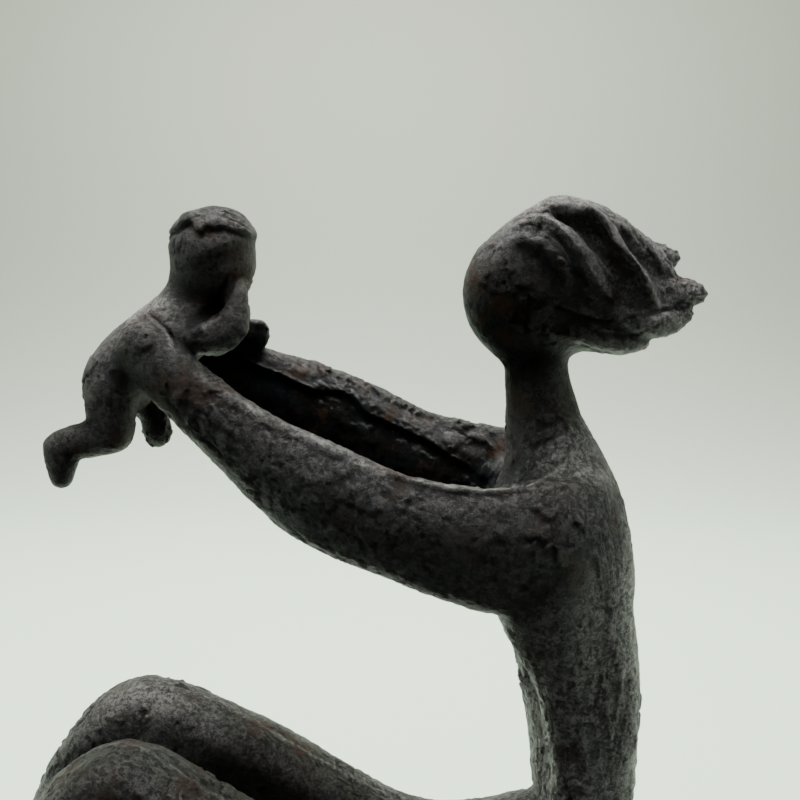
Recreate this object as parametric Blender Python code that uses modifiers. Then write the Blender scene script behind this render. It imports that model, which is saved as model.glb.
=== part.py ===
"""A seated mother lifting her child at arm's length: one casting, resting on a low plinth.

Metres, +Z up. The mother faces -X, and the origin is the centre of the plinth's underside.
Run with: blender --background --python part.py
"""

import math
from collections import namedtuple

import bmesh
import bpy
from mathutils import Matrix, Vector

# Driving sizes, in metres
FIGURE_HEIGHT = 0.360
PLINTH_LENGTH = 0.402
PLINTH_WIDTH = 0.132
PLINTH_THICKNESS = 0.016
PLINTH_EDGE_ROUND = 0.003
PLINTH_EDGE_SEGMENTS = 3
SEAT_GAP = 0.0003
THOUSAND = 1000

# How finely the casting is meshed, as a share of its own height
VOXEL_SHARE = 0.0034
BLEND_ROUNDS = 5
BLEND_STRENGTH = 0.5

# Above this share of its height the casting has the heads, hair and hands, which keep more faces
FINE_FROM_SHARE = 0.765
PLAIN_TRIANGLES = 5200
FINE_TRIANGLES = 4400

# The block that cuts the underside flat, against the figure's height
CUTTER_SHARE = 4

# Points round a limb, rings between two stations, and the angles of the rings in each rounded end
RING_POINTS = 28
RINGS_BETWEEN = 4
DOME_ANGLES = (28, 55, 78)

BRONZE = {"name": "dark_bronze", "colour": (0.045, 0.043, 0.040, 1.0)}
PLINTH_BRONZE = {"name": "plinth_bronze", "colour": (0.040, 0.038, 0.036, 1.0)}
BRONZE_ROUGHNESS = 0.55
BRONZE_METALLIC = 0.6

# A station is one cross-section of a limb, in thousandths of the figure's height: its centre,
# its half sizes across and along its up direction, and how it departs from an ellipse.
# lean slides the top sideways, pinch narrows the top, scoop hollows the underside,
# square makes it boxy and turn twists it about the limb, in degrees.
STATION_FIELDS = "x y z across tall lean pinch scoop square turn"
Station = namedtuple("Station", STATION_FIELDS, defaults=(0, 0, 0, 2.0, 0))

# A limb is lofted through its stations. An upright one keeps its up near +Z. reach is how far
# each rounded end stands out past the first and last station, and ROUND is a half-sphere's worth.
ROUND = None
Limb = namedtuple("Limb", "stations upright both_sides reach", defaults=(False, False, (ROUND, ROUND)))

TORSO = Limb([
    Station(415, 0, 25, 120, 74),
    Station(412, 0, 95, 124, 76),
    Station(408, 0, 160, 112, 68, square=2.4),
    Station(393, 0, 229, 100, 57, scoop=0.20, square=3.4, turn=5),
    Station(390, 0, 287, 97, 59, scoop=0.32, square=4.0, turn=6),
    Station(386, 0, 335, 99, 64, scoop=0.36, square=4.0, turn=6),
    Station(381, 0, 389, 102, 69, scoop=0.34, square=4.0, turn=6),
    Station(374, 0, 435, 107, 74, scoop=0.28, square=3.8, turn=4),
    Station(366, 0, 470, 112, 80, scoop=0.20, square=3.4, turn=2),
    Station(355, 0, 512, 118, 91, scoop=0.10, square=3.0),
    Station(352, 0, 560, 121, 91, square=2.8),
    Station(354, 0, 600, 117, 85, square=2.4),
    Station(352, 0, 636, 100, 78),
    Station(348, 0, 664, 78, 68),
    Station(342, 0, 692, 56, 57),
    Station(335, 0, 720, 45, 48),
    Station(329, 0, 750, 39, 43),
    Station(323, 0, 791, 37, 39),
    Station(322, 0, 840, 37, 40),
])

HEAD = Limb([
    Station(318, 0, 808, 30, 46),
    Station(318, 0, 823, 43, 64),
    Station(318, 0, 849, 55, 81),
    Station(318, 0, 884, 63, 88),
    Station(318, 0, 915, 62, 82),
    Station(318, 0, 944, 53, 63),
    Station(318, 0, 968, 37, 38),
    Station(318, 0, 982, 18, 18),
], reach=(9, 6))

HAIR_MASS = Limb([
    Station(325, 0, 903, 58, 85),
    Station(360, 0, 898, 60, 83),
    Station(400, 0, 890, 54, 73),
    Station(435, 0, 882, 44, 60),
    Station(465, 0, 877, 32, 41),
    Station(484, 0, 875, 20, 25),
], upright=True, reach=(20, 12))

# Locks of hair, blown back from the crown and the temples to loose tips
CROWN_LOCK = Limb([
    Station(308, -24, 973, 23, 11),
    Station(334, -22, 985, 28, 14),
    Station(362, -19, 982, 31, 15),
    Station(398, -16, 966, 30, 17),
    Station(438, -14, 937, 26, 17),
    Station(468, -10, 911, 18, 13),
    Station(482, -6, 892, 9, 8),
], reach=(10, 8))

FAR_CROWN_LOCK = Limb([
    Station(300, 30, 966, 22, 12),
    Station(345, 32, 974, 28, 14),
    Station(395, 33, 956, 28, 16),
    Station(438, 30, 936, 23, 16),
    Station(466, 28, 932, 18, 16),
    Station(486, 27, 925, 16, 15),
], reach=(10, 14))

THIN_LOCK = Limb([
    Station(360, -34, 988, 12, 7),
    Station(379, -44, 976, 13, 7),
    Station(395, -50, 957, 14, 7),
    Station(409, -52, 934, 15, 7),
    Station(432, -46, 907, 15, 7),
    Station(447, -38, 885, 13, 6),
    Station(458, -32, 869, 8, 5),
])

FRONT_LOCK = Limb([
    Station(292, -36, 962, 8, 8),
    Station(311, -43, 967, 9, 10),
    Station(336, -51, 956, 10, 13),
    Station(356, -57, 934, 10, 15),
    Station(375, -58, 908, 9, 15),
    Station(390, -55, 886, 6, 10),
], both_sides=True)

TEMPLE_LOCK = Limb([
    Station(272, -33, 936, 7, 6),
    Station(293, -46, 950, 8, 7),
    Station(320, -56, 942, 10, 9),
    Station(340, -62, 918, 9, 9),
    Station(350, -60, 896, 5, 5),
], both_sides=True)

TIP_LOCK = Limb([
    Station(430, -18, 890, 20, 18),
    Station(466, -13, 888, 18, 17),
    Station(500, -8, 885, 15, 16),
    Station(520, -3, 884, 9, 10),
], reach=(ROUND, 10))

LOWER_LOCK = Limb([
    Station(402, -46, 866, 10, 9),
    Station(430, -42, 855, 13, 13),
    Station(462, -30, 850, 15, 17),
    Station(486, -16, 855, 13, 15),
    Station(500, -10, 863, 8, 10),
], both_sides=True)

NAPE_LOCK = Limb([
    Station(350, -44, 843, 8, 8),
    Station(378, -43, 838, 12, 12),
    Station(412, -32, 829, 14, 14),
    Station(440, -20, 826, 12, 11),
    Station(452, -14, 826, 7, 7),
], both_sides=True)

UNDER_LOCK = Limb([
    Station(362, -4, 832, 26, 14),
    Station(398, -6, 828, 24, 14),
    Station(430, -6, 822, 18, 13),
], upright=True, reach=(ROUND, 9))

NEAR_ARM = Limb([
    Station(392, 0, 596, 42, 56),
    Station(382, -58, 602, 42, 62, pinch=0.3),
    Station(346, -95, 604, 39, 74, lean=-10, pinch=0.45),
    Station(290, -109, 596, 37, 81, lean=-14, pinch=0.55, square=2.3),
    Station(232, -109, 602, 36, 74, lean=-14, pinch=0.6, square=2.4),
    Station(165, -104, 620, 36, 67, lean=-14, pinch=0.6, square=2.4),
    Station(105, -98, 641, 36, 66, lean=-12, pinch=0.5, square=2.4),
    Station(50, -91, 668, 35, 64, lean=-10, pinch=0.4, square=2.3),
    Station(-5, -81, 703, 31, 53, lean=-7, pinch=0.3),
    Station(-60, -69, 746, 27, 42, lean=-3),
    Station(-105, -60, 785, 24, 37),
    Station(-140, -54, 816, 21, 35),
    Station(-155, -50, 833, 17, 28),
], upright=True)

FAR_ARM = Limb([
    Station(392, 0, 596, 42, 56),
    Station(382, 58, 602, 42, 62, pinch=0.3),
    Station(346, 95, 606, 39, 76, lean=10, pinch=0.45),
    Station(290, 109, 612, 37, 82, lean=14, pinch=0.55, square=2.3),
    Station(232, 109, 630, 36, 77, lean=14, pinch=0.6, square=2.4),
    Station(165, 105, 655, 36, 71, lean=14, pinch=0.6, square=2.4),
    Station(105, 99, 693, 36, 65, lean=12, pinch=0.5, square=2.4),
    Station(50, 93, 726, 33, 57, lean=10, pinch=0.4, square=2.3),
    Station(-5, 81, 754, 30, 50, lean=7, pinch=0.3),
    Station(-60, 67, 784, 26, 39, lean=3),
    Station(-105, 57, 810, 23, 33),
    Station(-140, 51, 830, 20, 30),
    Station(-156, 47, 842, 16, 23),
], upright=True)

# What runs the arms into the body: down the side of the chest, and behind the bowl at the neck
SHOULDER_SIDE = Limb([
    Station(368, -60, 395, 42, 40),
    Station(360, -66, 440, 46, 50),
    Station(347, -74, 490, 50, 63),
    Station(337, -82, 540, 52, 71),
    Station(334, -86, 590, 50, 74),
    Station(340, -80, 628, 44, 64),
], both_sides=True)

SHOULDER_TOP = Limb([
    Station(372, -15, 664, 36, 34),
    Station(373, -46, 653, 38, 33),
    Station(368, -74, 640, 36, 32),
    Station(358, -94, 626, 30, 26),
], upright=True, both_sides=True, reach=(ROUND, 12))

NEAR_THIGH = Limb([
    Station(430, -62, 92, 60, 82),
    Station(330, -72, 82, 67, 80),
    Station(240, -80, 70, 66, 67),
    Station(160, -86, 74, 64, 63, square=2.3),
    Station(100, -90, 98, 62, 62, square=2.6),
    Station(44, -92, 131, 60, 60, square=2.8),
    Station(-44, -92, 194, 58, 59, square=2.9),
    Station(-114, -91, 238, 56, 59, square=2.9),
    Station(-164, -90, 274, 52, 60, square=2.8),
    Station(-192, -90, 292, 46, 54, square=2.6),
], reach=(44, 18))

FAR_THIGH = Limb([
    Station(430, 62, 92, 60, 82),
    Station(330, 72, 82, 67, 80),
    Station(240, 80, 72, 66, 68),
    Station(160, 86, 78, 64, 64, square=2.3),
    Station(100, 90, 104, 62, 63, square=2.6),
    Station(44, 92, 137, 60, 61, square=2.8),
    Station(-44, 92, 198, 58, 59, square=2.9),
    Station(-126, 91, 240, 56, 58, square=2.9),
    Station(-188, 90, 270, 52, 60, square=2.8),
    Station(-217, 90, 287, 46, 54, square=2.6),
], reach=(44, 18))

NEAR_SHIN = Limb([
    Station(-169, -90, 316, 42, 30, square=2.6),
    Station(-202, -90, 291, 49, 45, square=2.8),
    Station(-240, -90, 253, 51, 51, square=2.9),
    Station(-281, -90, 207, 48, 49, square=2.9),
    Station(-317, -90, 160, 43, 44, square=2.8),
    Station(-352, -90, 108, 37, 38, square=2.6),
    Station(-392, -90, 62, 32, 33, square=2.3),
    Station(-420, -90, 30, 30, 28),
], reach=(10, ROUND))

FAR_SHIN = Limb([
    Station(-194, 90, 311, 42, 30, square=2.6),
    Station(-227, 90, 284, 49, 45, square=2.8),
    Station(-262, 90, 247, 51, 51, square=2.9),
    Station(-296, 90, 203, 48, 49, square=2.9),
    Station(-326, 90, 159, 43, 44, square=2.8),
    Station(-357, 90, 108, 37, 38, square=2.6),
    Station(-394, 90, 62, 32, 33, square=2.3),
    Station(-420, 90, 30, 30, 28),
], reach=(10, ROUND))

FOOT = Limb([
    Station(-385, -90, 26, 30, 30),
    Station(-430, -91, 32, 32, 30),
    Station(-480, -93, 22, 36, 24),
    Station(-520, -94, 14, 33, 17),
], both_sides=True)

LAP = Limb([
    Station(380, 0, 120, 96, 90),
    Station(320, 0, 118, 106, 72, square=2.3),
    Station(258, 0, 102, 96, 58, square=2.3),
    Station(205, 0, 78, 78, 44),
])

CHILD_HEAD = Limb([
    Station(-58, 0, 871, 26, 27),
    Station(-64, 0, 889, 40, 43),
    Station(-68, 0, 911, 48, 50),
    Station(-71, 0, 938, 48, 52),
    Station(-71, 0, 960, 44, 48),
    Station(-71, 0, 976, 34, 38),
], reach=(9, 10))

# A cap of short hair, its brim low on the nape and high on the brow
CHILD_HAIR = Limb([
    Station(-66, 0, 930, 54, 55),
    Station(-70, 0, 939, 54, 56),
], reach=(2, 50))

CHILD_NECK = Limb([
    Station(-112, 0, 850, 40, 38),
    Station(-96, 0, 878, 36, 37),
    Station(-84, 0, 906, 34, 35),
])

CHILD_BODY = Limb([
    Station(-88, 0, 862, 46, 36),
    Station(-112, 0, 848, 52, 43),
    Station(-145, 0, 821, 50, 45),
    Station(-178, 0, 794, 50, 45),
    Station(-194, 0, 772, 50, 42),
])

CHILD_NEAR_THIGH = Limb([
    Station(-190, -26, 778, 26, 32),
    Station(-193, -31, 748, 25, 31),
    Station(-190, -33, 720, 22, 24),
])

CHILD_NEAR_CALF = Limb([
    Station(-190, -33, 716, 22, 22),
    Station(-216, -34, 712, 20, 23),
    Station(-242, -35, 708, 17, 20),
    Station(-257, -35, 705, 16, 18),
])

CHILD_NEAR_FOOT = Limb([
    Station(-257, -35, 704, 17, 20),
    Station(-255, -35, 685, 17, 20),
    Station(-256, -35, 665, 15, 15),
])

CHILD_FAR_LEG = Limb([
    Station(-185, 26, 780, 26, 32),
    Station(-170, 31, 750, 22, 25),
    Station(-160, 33, 728, 17, 18),
    Station(-157, 33, 708, 18, 20),
    Station(-156, 33, 700, 15, 16),
])

CHILD_NEAR_ARM = Limb([
    Station(-122, -34, 844, 21, 24),
    Station(-92, -41, 837, 18, 21),
    Station(-64, -42, 836, 18, 21),
    Station(-43, -40, 847, 18, 20),
    Station(-38, -37, 868, 16, 16),
    Station(-37, -33, 889, 13, 14),
])

CHILD_FAR_ARM = Limb([
    Station(-110, 34, 850, 21, 24),
    Station(-82, 46, 843, 18, 20),
    Station(-52, 57, 832, 17, 20),
    Station(-28, 62, 829, 15, 21),
])

MOTHER = [TORSO, HEAD, NEAR_ARM, FAR_ARM, SHOULDER_SIDE, SHOULDER_TOP,
    NEAR_THIGH, FAR_THIGH, NEAR_SHIN, FAR_SHIN, FOOT, LAP]
HAIR = [HAIR_MASS, CROWN_LOCK, FAR_CROWN_LOCK, THIN_LOCK, FRONT_LOCK, TEMPLE_LOCK]
HAIR_TIPS = [TIP_LOCK, LOWER_LOCK, NAPE_LOCK, UNDER_LOCK]
CHILD = [CHILD_HEAD, CHILD_HAIR, CHILD_NECK, CHILD_BODY]
CHILD_LEGS = [CHILD_NEAR_THIGH, CHILD_NEAR_CALF, CHILD_NEAR_FOOT, CHILD_FAR_LEG]
CHILD_ARMS = [CHILD_NEAR_ARM, CHILD_FAR_ARM]


def mirrored(limb):
    """The same limb on the other side of the body."""
    return limb._replace(stations=[s._replace(y=-s.y, lean=-s.lean, turn=-s.turn) for s in limb.stations])


def clear_scene():
    for obj in list(bpy.data.objects):
        bpy.data.objects.remove(obj)


def new_collection(name):
    collection = bpy.data.collections.new(name)
    bpy.context.scene.collection.children.link(collection)
    return collection


def material(finish):
    made = bpy.data.materials.new(finish["name"])
    made.use_nodes = True
    shader = made.node_tree.nodes["Principled BSDF"]
    shader.inputs["Base Color"].default_value = finish["colour"]
    shader.inputs["Roughness"].default_value = BRONZE_ROUGHNESS
    shader.inputs["Metallic"].default_value = BRONZE_METALLIC
    return made


def curve_through(a, b, c, d, t):
    """The Catmull-Rom value between b and c."""
    straight = 2 * b + (c - a) * t
    bend = (2 * a - 5 * b + 4 * c - d) * t**2 + (3 * b - a - 3 * c + d) * t**3
    return (straight + bend) / 2


def fair(stations):
    """The stations with smooth steps in between."""
    ends = [stations[0], *stations, stations[-1]]
    rows = []
    for i in range(len(stations) - 1):
        for step in range(RINGS_BETWEEN):
            fields = zip(*ends[i : i + 4])
            rows.append(Station(*(curve_through(*field, step / RINGS_BETWEEN) for field in fields)))
    return [*rows, stations[-1]]


def axes_at(rows, i, upright):
    """Forward, across and up at one row. Unless the limb is upright, its across stays near +Y."""
    ahead = rows[min(i + 1, len(rows) - 1)]
    behind = rows[max(i - 1, 0)]
    forward = (Vector(ahead[:3]) - Vector(behind[:3])).normalized()
    if upright:
        up = Vector((0, 0, 1))
        up = (up - up.dot(forward) * forward).normalized()
        across = forward.cross(up)
    else:
        across = Vector((0, 1, 0))
        across = (across - across.dot(forward) * forward).normalized()
        up = across.cross(forward)
    twist = Matrix.Rotation(math.radians(rows[i].turn), 3, forward)
    return forward, twist @ across, twist @ up


def section_point(row, angle):
    """Across and up of one point of a cross-section."""
    c = math.cos(angle)
    s = math.sin(angle)
    reach = (abs(c) ** row.square + abs(s) ** row.square) ** (-1 / row.square)
    side = c * reach
    up = s * reach
    if up > 0:
        side *= 1 - row.pinch * up**2
    else:
        up *= 1 - row.scoop * max(0.0, 1 - side**2) ** 2
    return side * row.across + row.lean * up, up * row.tall


def add_limb(bm, limb):
    """Lofts one closed, round-ended form through the limb's stations."""
    rows = fair(limb.stations)
    last = len(rows) - 1
    rings = []

    def ring(i, shift, scale):
        forward, across, up = axes_at(rows, i, limb.upright)
        centre = Vector(rows[i][:3]) + forward * shift
        points = [section_point(rows[i], math.tau * k / RING_POINTS) for k in range(RING_POINTS)]
        rings.append([bm.verts.new(centre + (across * a + up * u) * scale) for a, u in points])

    def reach(i, given):
        return min(rows[i].across, rows[i].tall) if given is ROUND else given

    angles = [math.radians(degrees) for degrees in DOME_ANGLES]
    for angle in reversed(angles):
        ring(0, -reach(0, limb.reach[0]) * math.sin(angle), math.cos(angle))
    for i in range(len(rows)):
        ring(i, 0, 1)
    for angle in angles:
        ring(last, reach(last, limb.reach[1]) * math.sin(angle), math.cos(angle))
    for lower, upper in zip(rings, rings[1:]):
        for k in range(RING_POINTS):
            n = (k + 1) % RING_POINTS
            bm.faces.new((lower[k], lower[n], upper[n], upper[k]))
    bm.faces.new(reversed(rings[0]))
    bm.faces.new(rings[-1])


def figure_limbs():
    """Every limb of the casting, in thousandths of its height, as one mesh of overlapping closed forms."""
    bm = bmesh.new()
    for limb in [*MOTHER, *HAIR, *HAIR_TIPS, *CHILD, *CHILD_LEGS, *CHILD_ARMS]:
        add_limb(bm, limb)
        if limb.both_sides:
            add_limb(bm, mirrored(limb))
    bmesh.ops.recalc_face_normals(bm, faces=bm.faces)
    return bm


def evaluated_mesh(obj):
    graph = bpy.context.evaluated_depsgraph_get()
    return bpy.data.meshes.new_from_object(obj.evaluated_get(graph))


def largest_shell(mesh):
    """Leaves only the outer skin, so that no pocket between two limbs stays sealed inside."""
    bm = bmesh.new()
    bm.from_mesh(mesh)
    left = set(bm.faces)
    shells = []
    while left:
        shell = {left.pop()}
        frontier = list(shell)
        while frontier:
            face = frontier.pop()
            near = {other for edge in face.edges for other in edge.link_faces} & left
            left -= near
            shell |= near
            frontier.extend(near)
        shells.append(shell)
    outer = max(shells, key=len)
    inner = [face for face in bm.faces if face not in outer]
    bmesh.ops.delete(bm, geom=inner, context="FACES")
    bm.to_mesh(mesh)
    bm.free()


def fuse(obj):
    """Skins the overlapping limbs as one body, rounds the places where they meet and thins the faces."""
    skin = obj.modifiers.new("skin", "REMESH")
    skin.mode = "VOXEL"
    skin.voxel_size = VOXEL_SHARE * FIGURE_HEIGHT
    blend = obj.modifiers.new("blend", "SMOOTH")
    blend.factor = BLEND_STRENGTH
    blend.iterations = BLEND_ROUNDS
    mesh = evaluated_mesh(obj)
    obj.modifiers.clear()
    largest_shell(mesh)
    obj.data = mesh
    mesh.calc_loop_triangles()
    fine_from = min(v.co.z for v in mesh.vertices) + FINE_FROM_SHARE * FIGURE_HEIGHT
    triangles = len(mesh.loop_triangles)
    plain = {v.index for v in mesh.vertices if v.co.z < fine_from}
    fine = {v.index for v in mesh.vertices} - plain
    plain_triangles = sum(plain.issuperset(face.vertices) for face in mesh.loop_triangles)
    for name, members, fewer_by in (
        ("plain", plain, plain_triangles - PLAIN_TRIANGLES),
        ("fine", fine, triangles - plain_triangles - FINE_TRIANGLES),
    ):
        obj.vertex_groups.new(name=name).add(sorted(members), 1, "REPLACE")
        fewer = obj.modifiers.new("fewer_" + name, "DECIMATE")
        fewer.vertex_group = name
        fewer.vertex_group_factor = 0
        fewer.ratio = (triangles - fewer_by) / triangles
        fewer.use_collapse_triangulate = True
        triangles -= fewer_by


def make_floor_cutter(collection, top):
    """A block whose top is the level that the casting is cut off at."""
    size = CUTTER_SHARE * FIGURE_HEIGHT
    bpy.ops.mesh.primitive_cube_add(size=size, location=(0, 0, top - size / 2))
    cutter = bpy.context.active_object
    cutter.name = "floor_cutter"
    cutter.hide_render = True
    cutter.display_type = "WIRE"
    for owner in list(cutter.users_collection):
        owner.objects.unlink(cutter)
    collection.objects.link(cutter)
    return cutter


def make_figure(collection, cutters):
    """The casting: its limbs fused into one skin, cut flat where it rests."""
    bm = figure_limbs()
    underside = PLINTH_THICKNESS + SEAT_GAP
    bmesh.ops.scale(bm, verts=bm.verts, vec=Vector((1, 1, 1)) * FIGURE_HEIGHT / THOUSAND)
    bmesh.ops.translate(bm, verts=bm.verts, vec=(0, 0, underside))
    mesh = bpy.data.meshes.new("mother_and_child")
    bm.to_mesh(mesh)
    bm.free()
    figure = bpy.data.objects.new("mother_and_child", mesh)
    collection.objects.link(figure)
    fuse(figure)
    flat = figure.modifiers.new("flat_underside", "BOOLEAN")
    flat.operation = "DIFFERENCE"
    flat.object = make_floor_cutter(cutters, underside)
    figure.data.materials.append(material(BRONZE))
    figure.data.shade_smooth()
    return figure


def make_plinth(collection):
    bpy.ops.mesh.primitive_cube_add(size=1, location=(0, 0, PLINTH_THICKNESS / 2))
    plinth = bpy.context.active_object
    plinth.name = "plinth"
    plinth.data.name = "plinth"
    plinth.scale = (PLINTH_LENGTH, PLINTH_WIDTH, PLINTH_THICKNESS)
    bpy.ops.object.transform_apply(location=False, rotation=False, scale=True)
    for owner in list(plinth.users_collection):
        owner.objects.unlink(plinth)
    collection.objects.link(plinth)
    edges = plinth.modifiers.new("rounded_edges", "BEVEL")
    edges.width = PLINTH_EDGE_ROUND
    edges.segments = PLINTH_EDGE_SEGMENTS
    plinth.data.materials.append(material(PLINTH_BRONZE))
    return plinth


def main():
    clear_scene()
    parts = new_collection("mother_and_child_sculpture")
    cutters = new_collection("cutters")
    make_figure(parts, cutters)
    make_plinth(parts)


main()
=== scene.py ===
"""Mother and child, a rough cast bronze on a low slab plinth, in a pale studio.

Lengths are in metres in the row frame. A place on the figure is given in thousandths of its
height above its underside, or as the point of the photo's frame where its surface is seen.
"""

import math
from collections import namedtuple

import bmesh
import bpy
import numpy as np
from mathutils import Euler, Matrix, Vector
from mathutils.bvhtree import BVHTree


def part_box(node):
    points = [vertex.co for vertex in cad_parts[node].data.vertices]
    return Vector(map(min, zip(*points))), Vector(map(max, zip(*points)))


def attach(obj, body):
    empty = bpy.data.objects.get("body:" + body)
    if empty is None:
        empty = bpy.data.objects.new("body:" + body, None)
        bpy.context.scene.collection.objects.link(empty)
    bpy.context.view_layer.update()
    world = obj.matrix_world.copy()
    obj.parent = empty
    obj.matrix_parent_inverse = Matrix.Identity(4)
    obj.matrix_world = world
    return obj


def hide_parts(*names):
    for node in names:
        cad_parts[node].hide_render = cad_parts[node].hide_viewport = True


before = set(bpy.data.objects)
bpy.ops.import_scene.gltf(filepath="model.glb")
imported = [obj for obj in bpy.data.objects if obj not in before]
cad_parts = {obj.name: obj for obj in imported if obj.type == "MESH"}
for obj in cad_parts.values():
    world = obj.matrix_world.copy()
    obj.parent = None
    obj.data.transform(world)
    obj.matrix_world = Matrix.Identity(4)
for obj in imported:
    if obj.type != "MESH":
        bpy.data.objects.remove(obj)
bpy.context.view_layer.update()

MILLIMETRE = 0.001
THOUSANDTH = 0.360 / 1000
FIGURE_FOOT = 0.0163
PLINTH_TOP = 0.0160
SKIRT = 0.003

# The viewpoint, with the photo's frame 800 points wide
FRAME_POINTS = 800
FOCAL_POINTS = 866
SENSOR_WIDTH = 36.0
EYE = Vector((155 * THOUSANDTH, -1058 * THOUSANDTH, 931 * THOUSANDTH + FIGURE_FOOT))
EYE_TILT = math.radians(9.5)
EYE_TURN = Euler((math.radians(90) - EYE_TILT, 0, 0))

# Strength of the room's light from in front and from behind, the soft box, and where the two floors meet
ROOM_FRONT = 0.10
ROOM_BACK = 0.62
BOX_PLACE = (0.0, 0.32, 1.35)
BOX_TARGET = (0, 0.28, 0)
BOX_SIZE = 1.1
BOX_POWER = 49
FLOOR_JOINT = -0.07

# The backdrop's paper on the floor, where it turns up, greyer there with painted shade, and higher on the
# wall
PAPER_FLOOR = (0.850, 1.0, 0.810, 1)
PAPER_COVE_SHADE = (0.540, 0.585, 0.480, 1)
PAPER_WALL = (0.855, 0.895, 0.755, 1)

# Mesh density, and how many points are measured at a time
VOXEL = 0.85 * MILLIMETRE
PLINTH_VOXEL = 1.0 * MILLIMETRE
FIGURE_TRIANGLES = 196000
PLINTH_SHARE = 0.35
SLICE = 20000

# The dressed pieces stay this far inside the figure's box, and the figure's seat this far above the plinth
BOX_EDGE = 0.05 * MILLIMETRE
SEAT_GAP = 0.02 * MILLIMETRE
MERGE = 0.01 * MILLIMETRE

# The clay's relief all over, in millimetres
SWELL_HEIGHT = 0.5
SWELL_SIZE = 22
SCAB_HEIGHT = 0.65
SCAB_SIZE = 4.6
PIT_DEPTH = 0.40
PIT_SIZE = 1.9

# How fine the patina's patterns are
GRAIN_SCALE = 1700
SPECKLE_SCALE = 640
PLATE_SCALE = 420
MOTTLE_SCALE = 170
PATCH_SCALE = 46
COOL_SCALE = 27
BUMP_HEIGHT = 1.1 * MILLIMETRE

# Gloss of the patina, how metallic, and so darker, it turns where shade is painted, how much duller the rust
# is there, and each piece's rust
PATINA_SPECULAR = 0.44
PATINA_ROUGHNESS = (0.38, 0.66)
METAL_IN_PAINTED_SHADE = 0.95
RUST_DULLING_IN_PAINTED_SHADE = 0.33
FIGURE_RUST = 0.75
PLINTH_RUST = 0.45


def smoothstep(low, high, value):
    """0 below low, 1 above high, and a soft step between them."""
    t = np.clip((value - low) / (high - low), 0, 1)
    return t * t * (3 - 2 * t)


def lattice(cells, seed):
    """A repeatable random number from 0 to 1 for each row of whole numbers."""
    mixed = cells[:, 0] * 73856093 ^ cells[:, 1] * 19349663 ^ cells[:, 2] * 83492791 ^ seed * 2654435
    mixed = (mixed ^ (mixed >> 13)) * 1274126177 & 0x7FFFFFFF
    mixed = (mixed ^ (mixed >> 15)) * 668265263 & 0x7FFFFFFF
    return mixed / 0x7FFFFFFF


def soft_noise(points, size, seed):
    """Smooth noise from -1 to 1 with lumps about size metres wide."""
    scaled = points / size
    low = np.floor(scaled).astype(np.int64)
    part = scaled - low
    part = part * part * part * (part * (part * 6 - 15) + 10)
    total = np.zeros(len(points))
    for i in (0, 1):
        for j in (0, 1):
            for k in (0, 1):
                share = (
                    (part[:, 0] if i else 1 - part[:, 0])
                    * (part[:, 1] if j else 1 - part[:, 1])
                    * (part[:, 2] if k else 1 - part[:, 2])
                )
                total += share * lattice(low + (i, j, k), seed)
    return total * 2 - 1


def layered_noise(points, size, seed, layers=3):
    """Soft noise with finer and weaker noise on top of it."""
    total = np.zeros(len(points))
    for n in range(layers):
        total += soft_noise(points + 0.37 * n * size, size / 2**n, seed + 17 * n) / 2**n
    return total / (2 - 0.5 ** (layers - 1))


def dabs(points, size, seed):
    """Overlapping dabs about size metres wide: each one's tilt, how deep in a seam a point lies, and how far
    it is from the dab's middle."""
    scaled = points / size
    low = np.floor(scaled).astype(np.int64)
    nearest = np.full(len(points), 9.0)
    second = np.full(len(points), 9.0)
    tilt = np.zeros(len(points))
    for i in (-1, 0, 1):
        for j in (-1, 0, 1):
            for k in (-1, 0, 1):
                cell = low + (i, j, k)
                centre = cell + np.stack([lattice(cell, seed + n) for n in (1, 2, 3)], axis=1)
                offset = scaled - centre
                distance = np.einsum("ij,ij->i", offset, offset)
                lean = np.stack([lattice(cell, seed + n) for n in (4, 5, 6)], axis=1) - 0.5
                own_tilt = np.einsum("ij,ij->i", offset, lean) * 1.6 + lattice(cell, seed + 7) * 0.7 - 0.35
                closer = distance < nearest
                second = np.where(closer, nearest, np.minimum(second, distance))
                tilt = np.where(closer, own_tilt, tilt)
                nearest = np.where(closer, distance, nearest)
    seam = 1 - smoothstep(0.0, 0.28, np.sqrt(second) - np.sqrt(nearest))
    return tilt, seam, np.sqrt(nearest)


def stretched(points, along, factor):
    """The points pulled together along a direction, so that noise on them runs in streaks that way."""
    along = np.array(along, float)
    along /= np.linalg.norm(along)
    return points + np.outer(points @ along, along) * (1 / factor - 1)


def evaluated_copy(source, name):
    """A new object with the source's finished mesh."""
    graph = bpy.context.evaluated_depsgraph_get()
    mesh = bpy.data.meshes.new_from_object(source.evaluated_get(graph))
    mesh.name = name
    made = bpy.data.objects.new(name, mesh)
    bpy.context.scene.collection.objects.link(made)
    return made


def discard(piece):
    """Takes a working object and its mesh out of the scene."""
    mesh = piece.data
    bpy.data.objects.remove(piece)
    bpy.data.meshes.remove(mesh)


def positions(mesh):
    """The mesh's vertices as rows."""
    flat = np.empty(len(mesh.vertices) * 3)
    mesh.vertices.foreach_get("co", flat)
    return flat.reshape(-1, 3)


def vertex_normals(mesh):
    """The mesh's vertex normals as rows."""
    flat = np.empty(len(mesh.vertices) * 3)
    mesh.vertex_normals.foreach_get("vector", flat)
    return flat.reshape(-1, 3)


def place(mesh, rows):
    """Puts the mesh's vertices at the rows."""
    mesh.vertices.foreach_set("co", rows.ravel())
    mesh.update()


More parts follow.
